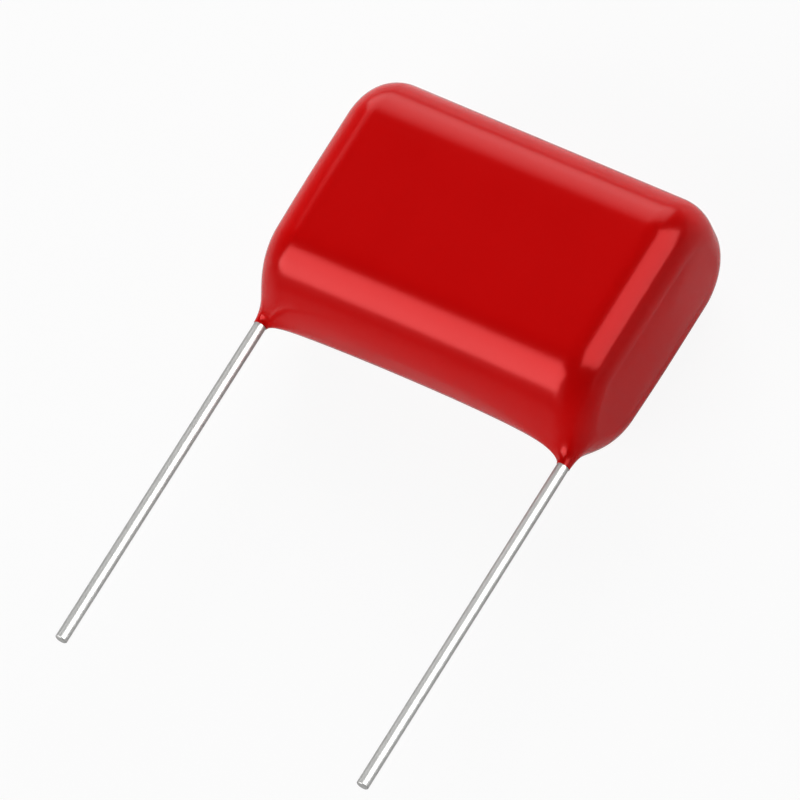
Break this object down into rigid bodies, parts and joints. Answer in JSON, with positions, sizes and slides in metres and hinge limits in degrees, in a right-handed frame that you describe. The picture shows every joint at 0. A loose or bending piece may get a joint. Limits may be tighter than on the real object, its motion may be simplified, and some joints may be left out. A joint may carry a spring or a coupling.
{
  "type": "dipped film capacitor",
  "caption": "Flat-pressed film capacitor with a glossy dipped coating and two straight radial wire leads.",
  "frame": {"origin": "centre of the flat back face, which the part lies on", "axes": "+X from the left wire to the right wire, +Y from the wire edge to the far edge of the body, +Z out of the front face; the wires point along -Y"},
  "size_m": [0.025, 0.0419, 0.0093],
  "materials": {
    "epoxy": "smooth glossy dipped epoxy, deep red",
    "wrap_film": "plain clear film, heat sealed",
    "metallised_film": "pressed roll of vapour-metallised film",
    "sprayed_zinc": "rough flame-sprayed zinc",
    "tinned_wire": "bright drawn wire with a tin coating"
  },
  "bodies": {
    "root": {"epoxy_coating": "epoxy", "outer_wrap": "wrap_film", "film_winding": "metallised_film", "end_spray_left": "sprayed_zinc", "end_spray_right": "sprayed_zinc", "lead_left": "tinned_wire", "lead_right": "tinned_wire"}
  },
  "joints": []
}
